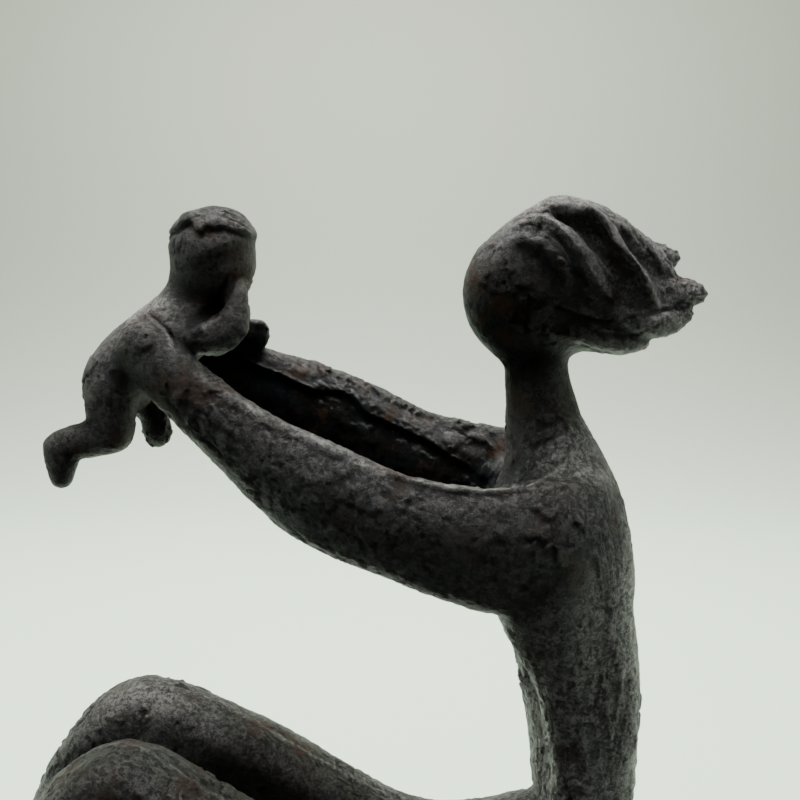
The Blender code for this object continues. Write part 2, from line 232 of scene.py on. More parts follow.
def rough_form(node, voxel):
    """A smooth closed copy of the figure's solid, run on below its foot so that the seat stays crisp."""
    shape = bmesh.new()
    shape.from_mesh(node.data)
    bmesh.ops.remove_doubles(shape, verts=shape.verts, dist=MERGE)
    foot = [v for v in shape.verts if v.co.z < FIGURE_FOOT + MERGE]
    bmesh.ops.translate(shape, verts=foot, vec=(0, 0, -SKIRT))
    mesh = bpy.data.meshes.new("rough_form")
    shape.to_mesh(mesh)
    shape.free()
    form = bpy.data.objects.new("rough_form", mesh)
    bpy.context.scene.collection.objects.link(form)
    rounder = form.modifiers.new("rounder", "SUBSURF")
    rounder.levels = rounder.render_levels = 2
    skin = form.modifiers.new("skin", "REMESH")
    skin.mode = "VOXEL"
    skin.voxel_size = voxel
    fair = form.modifiers.new("fair", "SMOOTH")
    fair.factor = 0.5
    fair.iterations = 6
    made = evaluated_copy(form, "rough_skin")
    discard(form)
    return made


# Tool strokes

# Widths, heights and reaches are in millimetres, and points lie in the photo's frame. A groove's height is
# negative. A ledge steps down on the right hand of the way its points run
Stroke = namedtuple("Stroke", "width height points")
Fan = namedtuple("Fan", "count width height first last")
Ledge = namedtuple("Ledge", "rise rise_reach drop drop_reach points")

LEDGES = [
    # The near arm's lip
    Ledge(0.3, 3, 0.8, 8, [(375, 470), (400, 478), (426, 485), (460, 492), (490, 493), (512, 491),
        (533, 487), (556, 480)]),
    # The near forearm's upper edge
    Ledge(0.2, 3, 0.35, 7, [(196, 380), (212, 392), (234, 406), (262, 423), (297, 439), (322, 451),
        (350, 463)]),
    # The far arm's ragged edge and its flat inner face
    Ledge(0.5, 3, 1.8, 11, [(222, 350), (236, 356), (247, 362), (262, 369), (280, 376), (300, 385),
        (317, 391), (335, 392), (348, 395), (358, 404), (366, 413), (385, 422), (405, 431),
        (428, 442), (450, 456), (470, 468), (486, 480)]),
    # The forearm's lower bevel
    Ledge(0.4, 6, 0.6, 4, [(165, 392), (176, 406), (193, 428), (214, 444), (234, 464), (256, 484),
        (288, 512)]),
    # The child's fringe, and its near hand and arm in front of the face and chest
    Ledge(0.9, 9, 0.8, 4, [(166, 236), (172, 232), (179, 229), (186, 224), (192, 223), (197, 230),
        (203, 232), (207, 227), (214, 229), (222, 227), (232, 230), (241, 232), (249, 235),
        (255, 238)]),
    Ledge(0.7, 4, 1.6, 6, [(251, 288), (249, 281), (243, 277), (237, 281), (232, 292), (227, 303),
        (220, 312), (208, 320), (194, 328), (184, 334)]),
    # The smooth band in front of the hair
    Ledge(0.5, 4, 0.8, 5, [(530, 217), (546, 220), (556, 227), (566, 237), (575, 248), (582, 258),
        (588, 270), (596, 283), (608, 297), (618, 306)]),
    # Locks of hair
    Ledge(0.7, 2.5, 0.9, 4, [(577, 198), (589, 208), (601, 218), (607, 227), (612, 237), (620, 248),
        (632, 261), (640, 273), (646, 285), (658, 307)]),
    Ledge(0.5, 2.5, 0.6, 4, [(598, 203), (612, 209), (626, 222), (640, 238), (654, 258), (666, 280)]),
    Ledge(0.6, 3, 0.7, 4, [(548, 300), (572, 312), (600, 318), (630, 316), (655, 310), (690, 304)]),
    Ledge(0.5, 3, 0.6, 4, [(580, 326), (604, 332), (630, 333), (652, 326), (672, 314)]),
    # The near edge of the chest
    Ledge(0.6, 6, 1.2, 5, [(510, 625), (518, 646), (528, 670), (540, 700), (552, 735), (560, 762),
        (570, 799)]),
]

STROKES = [
    # The lip along the near upper arm
    Stroke(2.0, 0.75, [(385, 470), (426, 481), (460, 488), (488, 489), (511, 487), (531, 482),
        (551, 476), (562, 468)]),
    # The lip along the near forearm
    Stroke(1.5, 0.6, [(206, 382), (233, 399), (264, 416), (297, 431), (322, 443), (339, 451)]),
    # The forearm's lower bevel
    Stroke(1.3, 0.6, [(173, 401), (193, 428), (214, 444), (234, 464), (256, 484), (281, 506)]),
    # The far arm's ragged edge
    Stroke(1.2, 0.6, [(236, 351), (247, 361), (256, 366), (270, 370), (281, 374), (306, 387),
        (330, 398), (350, 407)]),
    Stroke(1.6, -0.7, [(263, 328), (271, 336), (272, 346)]),
    # The edge of the hand against the child's back
    Stroke(0.9, 0.7, [(141, 312), (156, 325), (166, 335), (173, 351)]),
    Stroke(1.0, -0.7, [(146, 311), (160, 322), (171, 334), (178, 350)]),
    Stroke(0.9, 0.5, [(209, 366), (223, 353), (239, 340)]),
    Stroke(0.8, -0.4, [(204, 374), (215, 373)]),
    Stroke(0.8, -0.4, [(205, 381), (216, 380)]),
    Stroke(0.8, -0.4, [(207, 389), (215, 388)]),
    # Grooves and a crack at the temple
    Stroke(0.9, -0.55, [(514, 218), (523, 214), (536, 212), (548, 212)]),
    Stroke(0.9, -0.55, [(508, 224), (520, 219), (535, 217)]),
    Stroke(0.9, -0.55, [(511, 229), (522, 225), (530, 224), (538, 226), (544, 230)]),
    Stroke(0.8, -0.6, [(533, 236), (540, 226)]),
    # The smooth band in front of the hair
    Stroke(2.6, 0.8, [(534, 217), (546, 217), (555, 224), (564, 233), (573, 244), (580, 252),
        (586, 266), (594, 279), (607, 293), (614, 302)]),
    Stroke(1.6, -0.8, [(540, 226), (552, 234), (562, 243), (569, 254), (575, 268), (584, 282),
        (596, 296)]),
    Stroke(1.2, 0.7, [(550, 251), (558, 253)]),
    Stroke(1.3, 0.7, [(559, 258), (566, 262)]),
    Stroke(1.2, 0.6, [(559, 269), (566, 271)]),
    # The brown hollow and the flakes beside the crisp lock
    Stroke(4.2, -0.8, [(584, 241), (600, 254), (617, 268)]),
    Stroke(1.5, 1.1, [(579, 200), (589, 208), (601, 218), (607, 227), (612, 237), (620, 248),
        (632, 261), (640, 273), (646, 285), (658, 307)]),
    Stroke(1.8, -0.8, [(592, 202), (606, 211), (616, 222)]),
    Stroke(1.6, 0.9, [(620, 250), (625, 257)]),
    Stroke(1.1, 0.7, [(584, 223), (602, 223)]),
    Stroke(1.1, 0.7, [(584, 231), (605, 231)]),
    Stroke(1.1, 0.6, [(588, 238), (606, 238)]),
    Stroke(3.0, 0.9, [(615, 222), (623, 226), (633, 233)]),
    # Lumps at the crown
    Stroke(1.3, 0.7, [(549, 203), (555, 208), (560, 203)]),
    Stroke(1.1, -0.6, [(525, 207), (537, 205), (549, 205)]),
    Stroke(1.4, 0.6, [(567, 214), (580, 212)]),
    # Creases of the chest and belly
    Stroke(1.4, -0.8, [(515, 640), (528, 670), (540, 700), (552, 735), (560, 762), (570, 800)]),
    Stroke(1.2, 0.5, [(523, 644), (537, 676), (549, 706), (560, 738), (568, 768)]),
    Stroke(0.9, -0.6, [(594, 688), (595, 720)]),
    # Rounded rims of the knees
    Stroke(2.4, 0.5, [(205, 699), (248, 718), (315, 758), (390, 798)]),
    Stroke(1.6, 0.5, [(60, 776), (87, 754), (114, 745), (136, 747), (159, 760), (186, 779),
        (206, 797)]),
    Stroke(1.8, 0.6, [(108, 784), (114, 786)]),
    Stroke(1.6, 0.6, [(125, 787), (130, 788)]),
]

FANS = [
    # Temple
    Fan(5, 0.9, -0.3, [(506, 233), (519, 229), (530, 229)], [(511, 246), (524, 240), (540, 236),
        (552, 242)]),
    # Pebbly edge beside the band
    Fan(4, 1.0, 0.45, [(536, 238), (550, 240), (562, 243)], [(545, 250), (560, 254), (572, 258)]),
    # Hair below the crisp lock
    Fan(9, 0.9, 0.4, [(556, 214), (570, 230), (582, 250), (594, 275), (614, 294), (640, 306)],
        [(574, 208), (592, 226), (604, 246), (621, 268), (638, 292), (650, 306)]),
    # Hair above it
    Fan(5, 1.0, 0.4, [(586, 200), (606, 215), (620, 238), (638, 260), (656, 286)], [(592, 200),
        (618, 211), (640, 226), (658, 244), (668, 272)]),
    # Hair behind the jaw
    Fan(8, 1.4, 0.5, [(572, 262), (592, 290), (612, 310), (640, 318)], [(560, 300), (585, 320),
        (610, 337), (638, 345)]),
    # Pointed lock
    Fan(4, 1.3, 0.45, [(640, 292), (665, 279), (690, 279), (705, 290)], [(650, 308), (678, 302),
        (696, 298), (707, 294)]),
    # Lower lock
    Fan(5, 1.2, 0.45, [(612, 320), (640, 311), (668, 312), (688, 308)], [(602, 336), (640, 336),
        (664, 326), (684, 316)]),
    # Nape
    Fan(5, 1.3, 0.4, [(570, 316), (594, 331), (612, 350)], [(574, 344), (598, 354), (618, 358)]),
    # Bowl at the neck's base
    Fan(9, 0.8, -0.4, [(508, 484), (524, 470), (540, 456), (558, 446)], [(548, 476), (560, 466),
        (572, 452), (580, 438)]),
    # Belly
    Fan(7, 1.2, -0.45, [(519, 650), (530, 700), (535, 796)], [(546, 688), (560, 730), (568, 796)]),
    # The torso behind the crease
    Fan(8, 1.3, 0.4, [(560, 620), (572, 700), (584, 796)], [(668, 560), (690, 680), (700, 796)]),
    # Tufts of the child's hair
    Fan(5, 0.9, 0.75, [(206, 206), (190, 212), (174, 224)], [(205, 216), (193, 219), (178, 229)]),
    Fan(4, 0.9, 0.75, [(203, 212), (200, 222), (197, 230)], [(216, 212), (218, 220), (221, 228)]),
    Fan(5, 0.9, 0.75, [(218, 206), (236, 211), (251, 222)], [(214, 219), (232, 226), (250, 235)]),
    Fan(5, 0.8, -0.4, [(170, 234), (168, 244), (170, 254)], [(188, 238), (186, 248), (184, 258)]),
    # Strokes along the edge of the back
    Fan(9, 1.0, 0.4, [(606, 470), (622, 540), (622, 600)], [(588, 520), (600, 580), (604, 640)]),
    Fan(9, 1.0, 0.45, [(612, 600), (604, 660), (594, 720)], [(636, 680), (628, 740), (614, 796)]),
]


def fair_path(points, steps):
    """The points joined by a smooth curve, with steps points to each stretch."""
    corners = [np.array(p, float) for p in points]
    corners = [2 * corners[0] - corners[1], *corners, 2 * corners[-1] - corners[-2]]
    path = []
    for a, b, c, d in zip(corners, corners[1:], corners[2:], corners[3:]):
        for n in range(steps):
            t = n / steps
            bend = (2 * a - 5 * b + 4 * c - d) * t**2 + (3 * b - a - 3 * c + d) * t**3
            path.append(0.5 * (2 * b + (c - a) * t + bend))
    path.append(corners[-2])
    return path


def seen(surface, x, y):
    """The point of the surface that shows at a point of the photo's frame and its normal, or None twice."""
    half = FRAME_POINTS / 2
    ray = Vector(((x - half) / FOCAL_POINTS, (half - y) / FOCAL_POINTS, -1))
    ray.rotate(EYE_TURN)
    spot, normal, _, _ = surface.ray_cast(EYE, ray.normalized())
    return spot, normal


def laid(surface, path):
    """The picture path laid on the surface: each point's share of the way, the points and their normals."""
    found = [(n / (len(path) - 1), *seen(surface, x, y)) for n, (x, y) in enumerate(path)]
    found = [each for each in found if each[1] is not None]
    shares = np.array([share for share, _, _ in found])
    spots = np.array([tuple(spot) for _, spot, _ in found]).reshape(-1, 3)
    normals = np.array([tuple(normal) for _, _, normal in found]).reshape(-1, 3)
    return shares, spots, normals


def fan_strokes(fan, random):
    """The separate strokes of a fan, spread evenly between its first and last and varied a little."""
    first = fair_path(fan.first, 12)
    last = fair_path(fan.last, 12)
    for n in range(fan.count):
        share = (n + 0.5 + random.uniform(-0.3, 0.3)) / fan.count
        start = random.uniform(0.0, 0.25)
        end = random.uniform(0.75, 1.0)
        path = []
        for m in range(40):
            along = start + (end - start) * m / 39
            a = first[min(int(along * len(first)), len(first) - 1)]
            b = last[min(int(along * len(last)), len(last) - 1)]
            path.append(a + (b - a) * share)
        nearby = [path[max(0, i - 2) : i + 3] for i in range(len(path))]
        smooth = [sum(points) / len(points) for points in nearby]
        yield fan.width * random.uniform(0.75, 1.25), fan.height * random.uniform(0.6, 1.3), smooth


def carve(rows, lifts, spots, shares, width, height):
    """Adds a stroke along the spots to lifts, tapered at both ends. A groove throws up a small burr."""
    if len(spots) < 2:
        return
    near = np.all((rows > spots.min(axis=0) - 1.3 * width) & (rows < spots.max(axis=0) + 1.3 * width), axis=1)
    index = np.nonzero(near)[0]
    if not len(index):
        return
    gaps = rows[index][:, None, :] - spots[None, :, :]
    squares = np.einsum("ijk,ijk->ij", gaps, gaps)
    closest = squares.argmin(axis=1)
    distance = np.sqrt(squares[np.arange(len(index)), closest]) / width
    share = shares[closest]
    taper = smoothstep(0.0, 0.18, share) * (1 - smoothstep(0.82, 1.0, share))
    body = np.clip(1 - distance**2, 0, 1) ** 1.5
    if height < 0:
        body -= 0.35 * np.clip(1 - ((distance - 0.95) / 0.35) ** 2, 0, 1)
    lifts[index] += height * body * (0.25 + 0.75 * taper)


def step_down(rows, lifts, spots, shares, normals, mirror, ledge):
    """Adds a ledge along the spots to lifts: raised on one side of them, sunk on the other, crisp between."""
    along = np.gradient(spots, axis=0)
    for _ in range(4):
        along[1:-1] = (along[:-2] + 2 * along[1:-1] + along[2:]) / 4
        normals[1:-1] = (normals[:-2] + 2 * normals[1:-1] + normals[2:]) / 4
    across = np.cross(along, normals)
    across /= np.maximum(np.linalg.norm(across, axis=1), 1e-9)[:, None]
    flip = np.array((1, mirror, 1))
    spots, normals, across = spots * flip, normals * flip, across * flip
    reach = max(ledge.rise_reach, ledge.drop_reach) * MILLIMETRE
    near = np.all((rows > spots.min(axis=0) - reach) & (rows < spots.max(axis=0) + reach), axis=1)
    index = np.nonzero(near)[0]
    if not len(index):
        return
    closest = np.empty(len(index), dtype=np.int64)
    for start in range(0, len(index), SLICE):
        gaps = rows[index[start : start + SLICE]][:, None, :] - spots[None, :, :]
        closest[start : start + SLICE] = np.einsum("ijk,ijk->ij", gaps, gaps).argmin(axis=1)
    offset = rows[index] - spots[closest]
    side = np.einsum("ij,ij->i", offset, across[closest]) / MILLIMETRE
    depth = np.abs(np.einsum("ij,ij->i", offset, normals[closest]))
    share = shares[closest]
    taper = smoothstep(0.0, 0.12, share) * (1 - smoothstep(0.88, 1.0, share))
    taper *= 1 - smoothstep(0.6, 1.0, depth / reach)
    high = ledge.rise * (1 - smoothstep(0.0, ledge.rise_reach, -side))
    low = -ledge.drop * (1 - smoothstep(0.0, ledge.drop_reach, side))
    over = smoothstep(-0.6, 0.6, side)
    lifts[index] += MILLIMETRE * taper * ((1 - over) * high + over * low)


def tool_strokes(rows, surface):
    """How far the tool strokes raise or sink each row, in metres. The far side gets the same strokes."""
    random = np.random.RandomState(7)
    lifts = np.zeros(len(rows))
    listed = [(s.width, s.height, fair_path(s.points, 12)) for s in STROKES]
    for fan in FANS:
        listed.extend(fan_strokes(fan, random))
    for ledge in LEDGES:
        shares, spots, normals = laid(surface, fair_path(ledge.points, 10))
        for mirror in (1, -1):
            step_down(rows, lifts, spots, shares, normals.copy(), mirror, ledge)
    for width, height, path in listed:
        shares, spots, _ = laid(surface, path)
        for side in (1, -1):
            if not len(spots):
                continue
            sided = spots * (1, side, 1)
            if side < 0:
                sided = np.array([tuple(surface.find_nearest(Vector(p))[0]) for p in sided])
            carve(rows, lifts, sided, shares, width * MILLIMETRE, height * MILLIMETRE)
    return lifts


# Surface finish of each part of the figure

# Each part's axis in thousandths and its reach, the way the clay was drawn, and the heights and sizes of its
# lumps, streaks and pebbles in millimetres
Finish = namedtuple("Finish", "start end reach flow lump lump_size streak streak_size pebble pebble_size")

ARM_FLOW = (-0.84, 0, 0.54)

FINISHES = {
    "face": Finish((250, 0, 850), (330, 0, 850), 130, (0, 0, 1), 0.22, 4.0, 0.06, 1.6, 0.46, 2.4),
    "hair": Finish((350, 0, 880), (500, 0, 850), 120, (0.85, 0, -0.5), 0.48, 3.0, 0.42, 1.5, 0.68, 2.1),
    "neck": Finish((340, 0, 730), (350, 0, 660), 90, (0.2, 0, 1), 0.22, 3.5, 0.28, 1.6, 0.22, 2.4),
    "near_arm": Finish((330, -70, 560), (-120, -40, 850), 110, ARM_FLOW, 0.60, 4.5, 0.10, 2.2, 0.76, 2.6),
    "far_arm": Finish((330, 70, 560), (-120, 40, 850), 110, ARM_FLOW, 0.60, 4.5, 0.10, 2.2, 0.76, 2.6),
    "torso": Finish((350, 0, 560), (350, 0, 40), 190, (0.25, 0, 1), 0.55, 4.0, 0.22, 2.0, 0.62, 2.6),
    "thigh": Finish((260, 0, 90), (-170, 0, 200), 150, (-0.95, 0, 0.3), 0.55, 4.5, 0.12, 2.2, 0.54, 2.6),
    "shin": Finish((-190, 0, 200), (-480, 0, 20), 150, (-0.75, 0, -0.65), 0.55, 4.5, 0.12, 2.2, 0.54, 2.6),
    "child": Finish((-60, 0, 900), (-170, 0, 760), 120, (0.5, 0, 0.85), 0.28, 3.5, 0.08, 1.5, 0.49, 2.2),
    "child_leg": Finish((-200, 0, 740), (-280, 0, 640), 90, (-0.3, 0, -0.9), 0.24, 3.5, 0.08, 1.5, 0.32, 2.4),
}


def along_segment(rows, start, end):
    """Each row's distance from a straight axis, in thousandths."""
    a = np.array(start, float) * THOUSANDTH + (0, 0, FIGURE_FOOT)
    b = np.array(end, float) * THOUSANDTH + (0, 0, FIGURE_FOOT)
    way = b - a
    share = np.clip((rows - a) @ way / (way @ way), 0, 1)
    return np.linalg.norm(rows - a - np.outer(share, way), axis=1) / THOUSANDTH


def wandering(points, size, reach, seed):
    """The points pushed about by soft noise, so that a pattern on them loses its even grid."""
    push = np.stack([soft_noise(points, size, seed + n) for n in range(3)], axis=1)
    finer = np.stack([soft_noise(points, size / 2.3, seed + 5 + n) for n in range(3)], axis=1)
    return points + reach * (push + 0.5 * finer)


def clay_lumps(points, size, seed):
    """Rounded lumps of clay pressed together, with sharp creases: 0 in a crease, about 1 on top."""
    total = np.abs(soft_noise(points, size, seed))
    total += 0.55 * np.abs(soft_noise(points + 0.31 * size, size / 1.9, seed + 3))
    total += 0.30 * np.abs(soft_noise(points + 0.17 * size, size / 3.7, seed + 6))
    return total * 1.6


def cast_relief(rows):
    """The clay's relief, cast in the metal, in metres: lumps, streaks, pebbles, scabs and pits."""
    shares = {name: np.clip(1 - along_segment(rows, f.start, f.end) / (1.6 * f.reach), 0.001, 1) ** 4
              for name, f in FINISHES.items()}
    total = sum(shares.values())
    relief = layered_noise(rows, SWELL_SIZE * MILLIMETRE, 3) * SWELL_HEIGHT
    moved = wandering(rows, 7 * MILLIMETRE, 2.2 * MILLIMETRE, 90)
    for seed, (name, finish) in enumerate(FINISHES.items()):
        share = shares[name] / total
        near = np.nonzero(share > 0.02)[0]
        if not len(near):
            continue
        spots = moved[near]
        patch = smoothstep(-0.4, 0.4, soft_noise(spots, 16 * MILLIMETRE, 40 + seed))
        lumps = clay_lumps(stretched(spots, finish.flow, 1.6), finish.lump_size * MILLIMETRE, 11 * seed) - 0.7
        streaks = layered_noise(stretched(spots, finish.flow, 4.5), finish.streak_size * MILLIMETRE, 55)
        streaks = 0.7 - 2.2 * np.abs(streaks)
        _, _, core = dabs(spots, finish.pebble_size * MILLIMETRE, 70 + seed)
        pebbles = (1 - core**2) - 0.6
        pebble_patch = smoothstep(-0.5, 0.3, soft_noise(spots, 10 * MILLIMETRE, 60 + seed))
        part = (
            finish.lump * lumps * (0.35 + 0.65 * patch)
            + finish.streak * streaks * (1 - 0.5 * patch)
            + finish.pebble * pebbles * pebble_patch
        )
        relief[near] += part * share[near]
    scab_field = soft_noise(moved, SCAB_SIZE * MILLIMETRE, 27) + 0.35 * soft_noise(rows, 2.1 * MILLIMETRE, 28)
    scab_zone = smoothstep(-0.1, 0.3, soft_noise(rows, 30 * MILLIMETRE, 29))
    relief += SCAB_HEIGHT * smoothstep(0.30, 0.38, scab_field) * scab_zone
    pits = smoothstep(0.60, 0.78, soft_noise(rows, PIT_SIZE * MILLIMETRE, 31))
    pits *= 1 - np.clip(2 * shares["face"] / total, 0, 1)
    relief -= PIT_DEPTH * pits * smoothstep(0.0, 0.4, soft_noise(rows, 14 * MILLIMETRE, 32))
    return relief * MILLIMETRE


def thinned(skin, name):
    """The skin with fewer and larger triangles where it is smooth, under the count for one piece."""
    corners = np.empty(len(skin.data.polygons), dtype=np.int64)
    skin.data.polygons.foreach_get("loop_total", corners)
    thinner = skin.modifiers.new("thinner", "DECIMATE")
    thinner.ratio = min(1.0, FIGURE_TRIANGLES / int((corners - 2).sum()))
    thinner.use_collapse_triangulate = True
    made = evaluated_copy(skin, name)
    discard(skin)
    return made


def seated(piece):
    """Keeps the skin within the solid's own box, cuts it off flat on the plinth and closes it."""
    low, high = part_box("mother_and_child")
    rows = positions(piece.data)
    rows[:, :2] = np.clip(rows[:, :2], np.array(low[:2]) + BOX_EDGE, np.array(high[:2]) - BOX_EDGE)
    rows[:, 2] = np.minimum(rows[:, 2], high[2] - BOX_EDGE)
    place(piece.data, rows)
    shape = bmesh.new()
    shape.from_mesh(piece.data)
    cut = bmesh.ops.bisect_plane(
        shape,
        geom=shape.verts[:] + shape.edges[:] + shape.faces[:],
        dist=0.001 * MILLIMETRE,
        plane_co=(0, 0, PLINTH_TOP + SEAT_GAP),
        plane_no=(0, 0, -1),
        clear_outer=True,
    )
    rim = [e for e in cut["geom_cut"] if isinstance(e, bmesh.types.BMEdge)]
    bmesh.ops.edgenet_fill(shape, edges=rim)
    bmesh.ops.triangulate(shape, faces=[f for f in shape.faces if len(f.verts) > 3])
    bmesh.ops.recalc_face_normals(shape, faces=shape.faces)
    for face in shape.faces:
        face.smooth = True
    shape.to_mesh(piece.data)
    shape.free()
    return piece


def mark_wear(piece):
    """Stores how far each point stands out of the surface round it: over 0.5 on crests, less in hollows."""
    mesh = piece.data
    rows = positions(mesh)
    normals = vertex_normals(mesh)
    pairs = np.empty(len(mesh.edges) * 2, dtype=np.int64)
    mesh.edges.foreach_get("vertices", pairs)
    a, b = pairs.reshape(-1, 2).T
    degree = np.bincount(a, minlength=len(rows)) + np.bincount(b, minlength=len(rows))
    spread = rows.copy()
    for name, rounds, scale in (("fine_crest", 4, 0.20), ("broad_crest", 30, 0.9)):
        for _ in range(rounds):
            summed = [
                np.bincount(a, column[b], len(rows)) + np.bincount(b, column[a], len(rows))
                for column in spread.T
            ]
            spread = np.stack(summed, axis=1) / np.maximum(degree, 1)[:, None]
        stand = np.einsum("ij,ij->i", rows - spread, normals) / (scale * MILLIMETRE)
        layer = mesh.attributes.new(name, "FLOAT", "POINT")
        layer.data.foreach_set("value", np.clip(0.5 + 0.5 * stand, 0, 1))


# Where light is painted as paler patina, or shade as darker patina where the amount is negative: an axis
# and its reach, both in thousandths, and the amount
PAINTED_LIGHT_AND_SHADE = [
    # Painted light on the torso, the bowl at the neck, the child's back and shoulder, the temple, the hair
    # and the far knee
    ((395, 0, 470), (395, 0, 60), 220, 1.0),
    ((345, 0, 690), (372, -30, 684), 75, 1.0),
    ((-190, 0, 800), (-150, 0, 830), 70, 0.30),
    ((-140, -20, 860), (-120, -20, 850), 50, 0.85),
    ((300, 0, 985), (330, 0, 985), 100, 0.9),
    ((380, 0, 930), (480, 0, 850), 100, 0.6),
    ((-216, 60, 296), (-150, 60, 280), 80, 0.35),
    # Painted shade on the arms, the belly, the near knee, the thighs, the hand, the child's head and legs,
    # face and neck
    ((300, -75, 590), (-60, -50, 760), 90, -0.45),
    ((300, 0, 100), (285, 0, 480), 80, -0.75),
    ((200, -60, 90), (-200, -60, 295), 120, -0.55),
    ((60, 60, 180), (-110, 60, 240), 100, -0.60),
    ((-150, -60, 830), (-90, -60, 770), 50, -0.40),
    ((-70, 0, 900), (-70, 0, 960), 75, -0.60),
    ((-200, 0, 740), (-280, 0, 640), 80, -0.90),
    ((286, 0, 860), (300, 0, 900), 110, -0.9),
    ((325, 0, 700), (322, 0, 800), 60, -0.7),
]

# Rubbed edges, partly painted highlights; painted shade in creases where the amount is negative. Reach in
# millimetres
WearLightShadeLine = namedtuple("WearLightShadeLine", "reach amount points")

WEAR_LIGHT_AND_SHADE_LINES = [
    # The lips along the near arm, and the far arm's band
    WearLightShadeLine(2.2, 1.0, [(375, 471), (400, 478), (426, 484), (460, 489), (490, 490), (512, 488),
        (533, 484), (562, 470)]),
    WearLightShadeLine(3.6, 0.62, [(200, 378), (212, 386), (234, 399), (262, 414), (297, 430), (322, 442),
        (350, 456), (378, 471)]),
    WearLightShadeLine(4.0, 0.55, [(345, 386), (366, 396), (385, 406), (420, 424), (450, 438), (480, 452)]),
    WearLightShadeLine(3.0, 0.25, [(262, 356), (290, 365), (320, 376), (345, 386)]),
    # The child's raised arm, the hand's edge, the band in front of the hair and the crisp lock
    WearLightShadeLine(2.4, 0.5, [(243, 284), (236, 297), (228, 311), (212, 322), (196, 333)]),
    WearLightShadeLine(1.8, 0.75, [(141, 312), (156, 325), (166, 335), (173, 351)]),
    WearLightShadeLine(2.4, 0.65, [(534, 217), (555, 224), (573, 244), (586, 266), (607, 293)]),
    WearLightShadeLine(1.6, 0.75, [(579, 200), (601, 218), (612, 237), (632, 261), (646, 285), (658, 307)]),
    # The knees' rims
    WearLightShadeLine(2.4, 0.6, [(205, 699), (248, 718), (315, 758), (390, 798)]),
    WearLightShadeLine(2.2, 0.5, [(60, 776), (87, 754), (114, 745), (136, 747), (159, 760), (186, 779)]),
    # Painted shade in the belly's crease, the one between the child's arm and its face, and the one under the
    # hair's band
    WearLightShadeLine(2.0, -1.0, [(513, 636), (528, 670), (540, 700), (552, 735), (560, 762), (570, 799)]),
    WearLightShadeLine(1.8, -0.9, [(228, 276), (222, 290), (212, 304), (198, 314)]),
    WearLightShadeLine(2.2, -0.8, [(546, 238), (556, 246), (566, 258), (574, 272), (584, 286)]),
]


def line_distance(rows, spots, reach):
    """Each row's distance from the nearest of the spots, or reach where it is further."""
    distance = np.full(len(rows), reach)
    near = np.all((rows > spots.min(axis=0) - reach) & (rows < spots.max(axis=0) + reach), axis=1)
    index = np.nonzero(near)[0]
    for start in range(0, len(index), SLICE):
        part = index[start : start + SLICE]
        gaps = rows[part][:, None, :] - spots[None, :, :]
        distance[part] = np.sqrt(np.einsum("ijk,ijk->ij", gaps, gaps).min(axis=1))
    return distance


def mark_painted_light(piece, surface):
    """Stores painted light and rubbed edges as paler patina, up to 1, and painted shade, down to -1."""
    rows = positions(piece.data)
    normals = vertex_normals(piece.data)
    inward = -normals[:, 1] * np.sign(rows[:, 1])
    x = rows[:, 0]
    arms = smoothstep(-0.060, -0.045, x) * (1 - smoothstep(0.105, 0.118, x)) * (rows[:, 2] > 0.15)
    painted_light_and_wear = np.zeros(len(rows))
    for start, end, reach, amount in PAINTED_LIGHT_AND_SHADE:
        near = 1 - smoothstep(0.35, 1.0, along_segment(rows, start, end) / reach)
        painted_light_and_wear = np.maximum(painted_light_and_wear, amount * near) if amount > 0 else painted_light_and_wear + amount * near
    # The painted light is weaker on faces turned away from the front
    painted_light_and_wear = np.where(painted_light_and_wear > 0, painted_light_and_wear * (1 - 0.6 * smoothstep(-0.2, 0.5, normals[:, 1])), painted_light_and_wear)
    # Painted shade on the arms' inner faces, where the two arms face each other
    painted_light_and_wear -= smoothstep(0.15, 0.6, inward) * (1 - smoothstep(0.5, 0.8, normals[:, 2])) * arms
    painted_light_and_wear = np.maximum(painted_light_and_wear, -1)
    line_strength = 0.75 + 0.5 * soft_noise(rows, 5 * MILLIMETRE, 300)
    # Rubbed edges, partly painted highlights, raise the value; painted shade in creases lowers it
    for line in WEAR_LIGHT_AND_SHADE_LINES:
        _, spots, _ = laid(surface, fair_path(line.points, 12))
        reach = line.reach * MILLIMETRE
        for mirror in (1, -1):
            near = 1 - smoothstep(0.3, 1.0, line_distance(rows, spots * (1, mirror, 1), reach) / reach)
            near *= np.clip(abs(line.amount) * line_strength, 0, 1)
            painted_light_and_wear = painted_light_and_wear * (1 - near) + near * np.sign(line.amount)
    layer = piece.data.attributes.new("painted_light_and_wear", "FLOAT", "POINT")
    layer.data.foreach_set("value", painted_light_and_wear)


def figure_skin():
    """The whole cast figure as one closed, carved mesh."""
    skin = rough_form(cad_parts["mother_and_child"], VOXEL)
    rows = positions(skin.data)
    normals = vertex_normals(skin.data)
    shape = bmesh.new()
    shape.from_mesh(skin.data)
    surface = BVHTree.FromBMesh(shape)
    shape.free()
    lifts = tool_strokes(rows, surface) + cast_relief(rows)
    place(skin.data, rows + normals * lifts[:, None])
    skin = seated(thinned(skin, "bronze_figure"))
    mark_wear(skin)
    mark_painted_light(skin, surface)
    return skin


# Bronze

def group_socket(tree, name, way, kind, value=None):
    """Adds a named input or output to a node group."""
    socket = tree.interface.new_socket(name=name, in_out=way, socket_type=kind)
    if value is not None:
        socket.default_value = value
    return socket


def node(tree, kind, **settings):
    """A node with its settings."""
    made = tree.nodes.new(kind)
    for name, value in settings.items():
        setattr(made, name, value)
    return made


